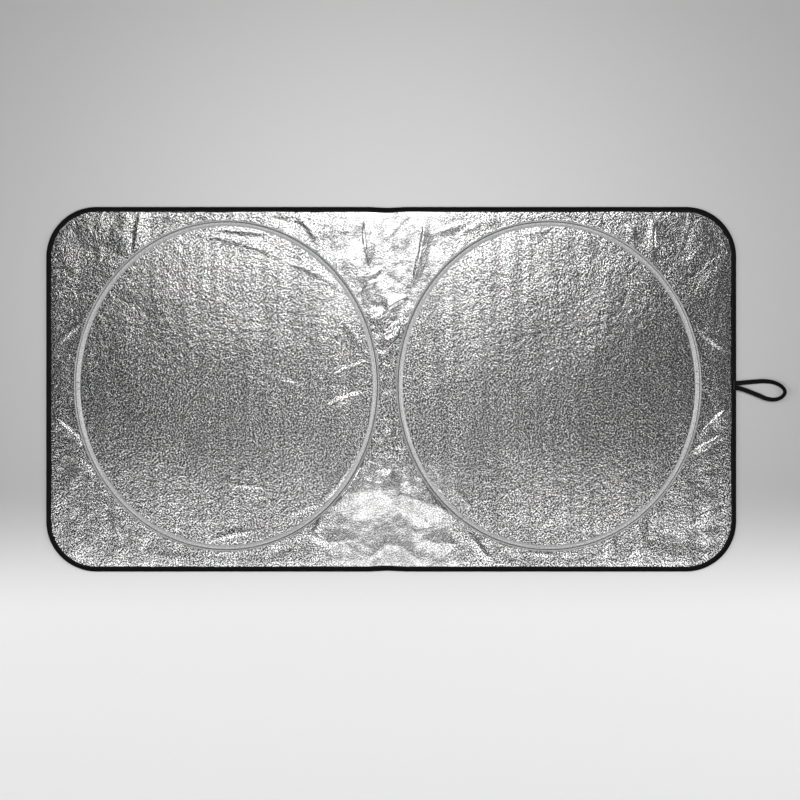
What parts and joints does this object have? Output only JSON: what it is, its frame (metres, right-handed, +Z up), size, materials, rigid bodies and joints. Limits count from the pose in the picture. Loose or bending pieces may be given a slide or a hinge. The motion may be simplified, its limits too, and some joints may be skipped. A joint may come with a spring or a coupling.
{
  "type": "windscreen sunshade",
  "caption": "Folding foil sunshade for a car windscreen: a round-cornered reflective sheet with sprung hoops in sewn casings, a black bound edge and an elastic keeper loop.",
  "frame": {"origin": "on the underside of the back lining, at the middle of the panel", "axes": "+X along the long side towards the elastic loop, +Y across the panel towards its top edge, +Z up out of the reflective face"},
  "size_m": [1.6194, 0.798, 0.0104],
  "materials": {
    "metallised_film": "vacuum-metallised polyester film on thin foam, finely embossed and creased",
    "silver_lining": "silver-coated woven polyester, matt",
    "silver_tape": "smooth silver-coated casing tape, satin",
    "black_binding": "woven polyester edge tape, matt",
    "black_elastic": "flat woven elastic with lengthwise ribs",
    "spring_steel": "tempered and drawn",
    "black_thread": "polyester sewing thread",
    "silver_thread": "polyester sewing thread"
  },
  "bodies": {
    "root": {"back_lining": "silver_lining", "front_foil": "metallised_film", "left_hoop": "spring_steel", "right_hoop": "spring_steel", "left_hoop_ferrule": "spring_steel", "right_hoop_ferrule": "spring_steel", "left_casing_tape": "silver_tape", "right_casing_tape": "silver_tape", "left_casing_tack": "silver_thread", "right_casing_tack": "silver_thread", "edge_binding": "black_binding", "elastic_loop": "black_elastic", "loop_bar_tack": "black_thread"}
  },
  "joints": []
}
